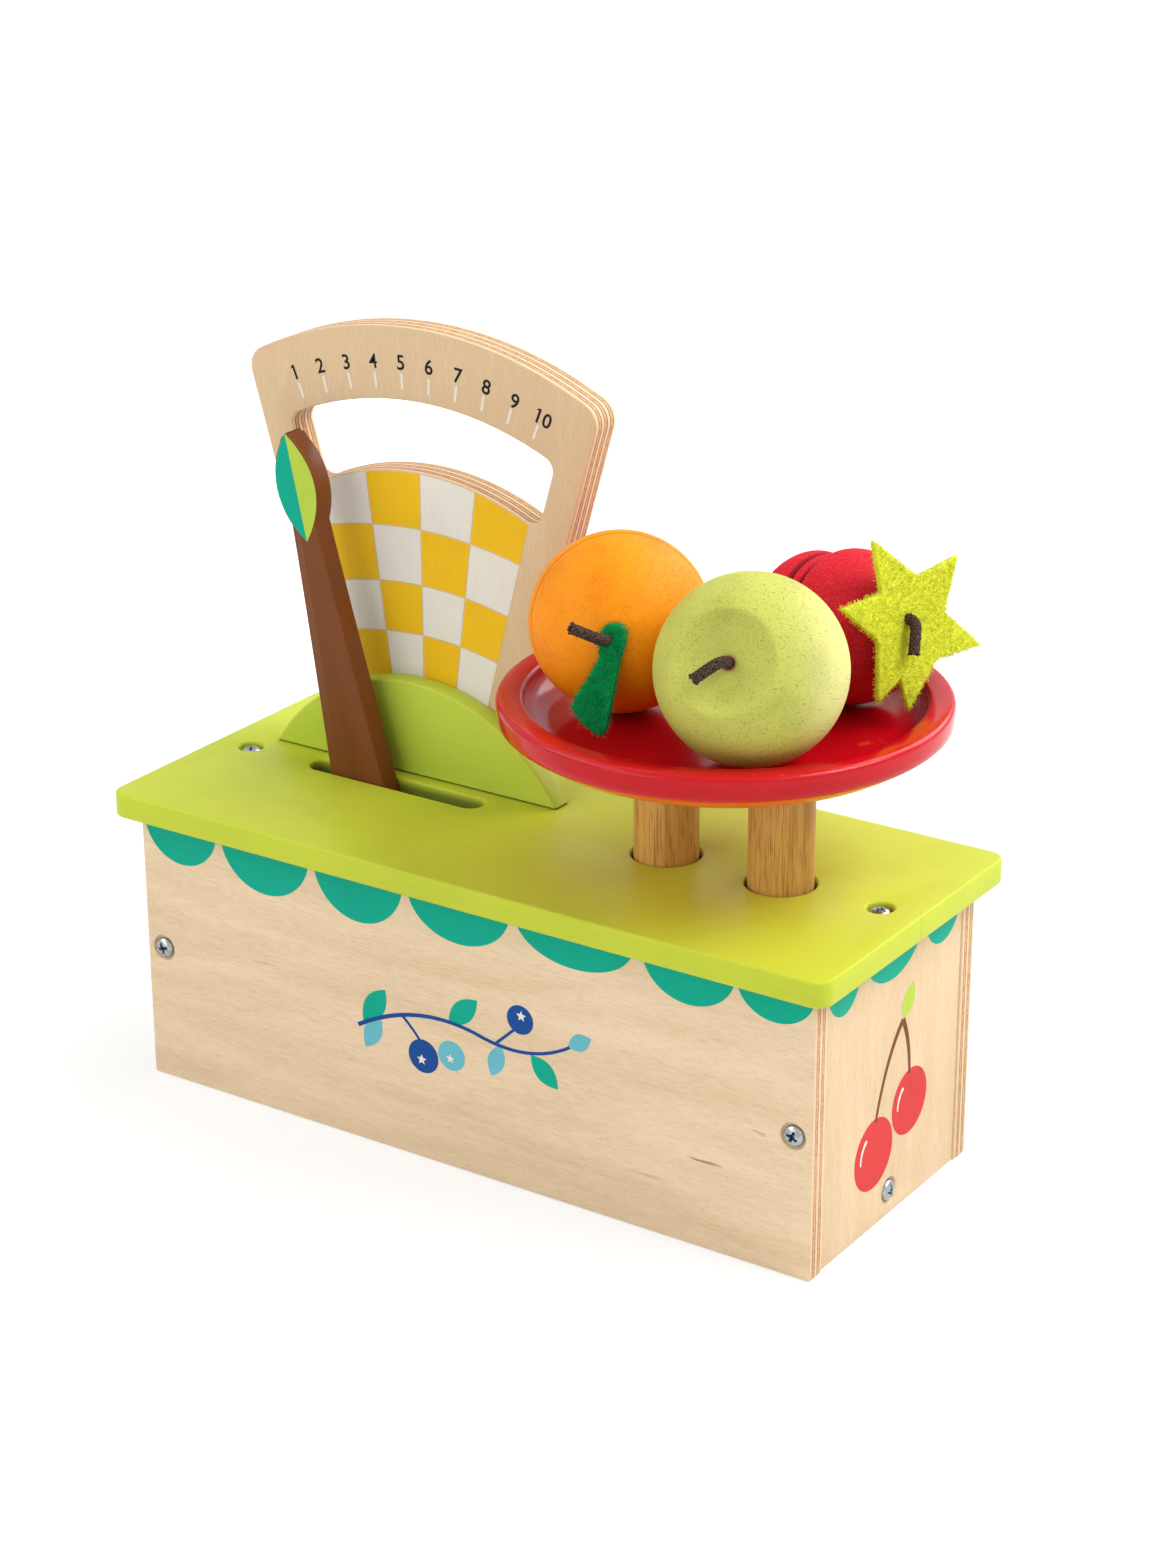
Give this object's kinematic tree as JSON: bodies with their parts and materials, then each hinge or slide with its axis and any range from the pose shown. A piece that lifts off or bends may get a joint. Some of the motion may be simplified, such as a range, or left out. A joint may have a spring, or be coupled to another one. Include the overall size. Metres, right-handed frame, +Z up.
{
  "type": "toy kitchen scale",
  "caption": "Wooden toy kitchen scale: a box with a numbered dial and pointer, a round tray on dowel posts that presses down on springs, and loose play fruits.",
  "frame": {"origin": "middle of the bottom board's underside, on the surface that the scale stands on", "axes": "+X to the right along the front, towards the tray; +Y to the back; +Z up, so the front faces -Y"},
  "size_m": [0.2409, 0.1244, 0.225],
  "materials": {
    "birch": "bare sanded plywood",
    "stained_dowel": "clear-lacquered dowel",
    "lime_paint": "satin lime paint",
    "grass_paint": "satin green paint",
    "brown_paint": "satin brown paint",
    "red_lacquer": "glossy red lacquer",
    "orange_lacquer": "satin orange lacquer",
    "pale_green_lacquer": "satin pale green lacquer",
    "zinc_steel": "zinc-plated",
    "green_felt": "wool felt",
    "lime_felt": "wool felt",
    "dark_cord": "braided cotton cord"
  },
  "bodies": {
    "box": {"front_panel": "birch", "back_panel": "birch", "left_end_panel": "birch", "right_end_panel": "birch", "bottom_board": "birch", "top_board": "lime_paint", "hill_panel": "grass_paint", "dial_panel": "birch", "front_panel_screws": "zinc_steel", "back_panel_screws": "zinc_steel", "end_panel_screws": "zinc_steel", "top_board_screws": "zinc_steel", "dial_screws": "zinc_steel", "hill_screws": "zinc_steel", "pointer_axle": "zinc_steel", "front_axle_spacer": "stained_dowel", "rear_axle_spacer": "stained_dowel", "left_spring": "zinc_steel", "right_spring": "zinc_steel"},
    "pointer": {"pointer": "brown_paint"},
    "carriage": {"tray": "red_lacquer", "left_post": "stained_dowel", "right_post": "stained_dowel", "left_stop_ring": "stained_dowel", "right_stop_ring": "stained_dowel", "cross_bar": "birch", "drive_peg": "zinc_steel", "post_screws": "zinc_steel"},
    "orange": {"orange_body": "orange_lacquer", "orange_stem": "dark_cord", "orange_leaf": "green_felt"},
    "apple": {"apple_body": "pale_green_lacquer", "apple_stem": "dark_cord"},
    "tomato": {"tomato_body": "red_lacquer", "tomato_star": "lime_felt", "tomato_stem": "dark_cord"}
  },
  "joints": [
    {"name": "tray_press", "type": "slide", "parent": "box", "child": "carriage", "axis": [0, 0, -1], "range_m": [0, 0.013], "stiffness_N_per_m": 400, "springref_m": -0.0125, "deforming": ["left_spring", "right_spring"]},
    {"name": "pointer_swing", "type": "hinge", "parent": "box", "child": "pointer", "pos_m": [-0.05358, 0, 0.0365], "axis": [0, 1, 0], "range_deg": [0, 26]},
    {"name": "orange_lift", "type": "slide", "parent": "carriage", "child": "orange", "axis": [0, 0, 1], "range_m": [0, 0.08]},
    {"name": "apple_lift", "type": "slide", "parent": "carriage", "child": "apple", "axis": [0, 0, 1], "range_m": [0, 0.08]},
    {"name": "tomato_lift", "type": "slide", "parent": "carriage", "child": "tomato", "axis": [0, 0, 1], "range_m": [0, 0.08]}
  ],
  "couplings": [
    {"joint": "pointer_swing", "follows": "tray_press", "rad_per_m": 34.907}
  ]
}
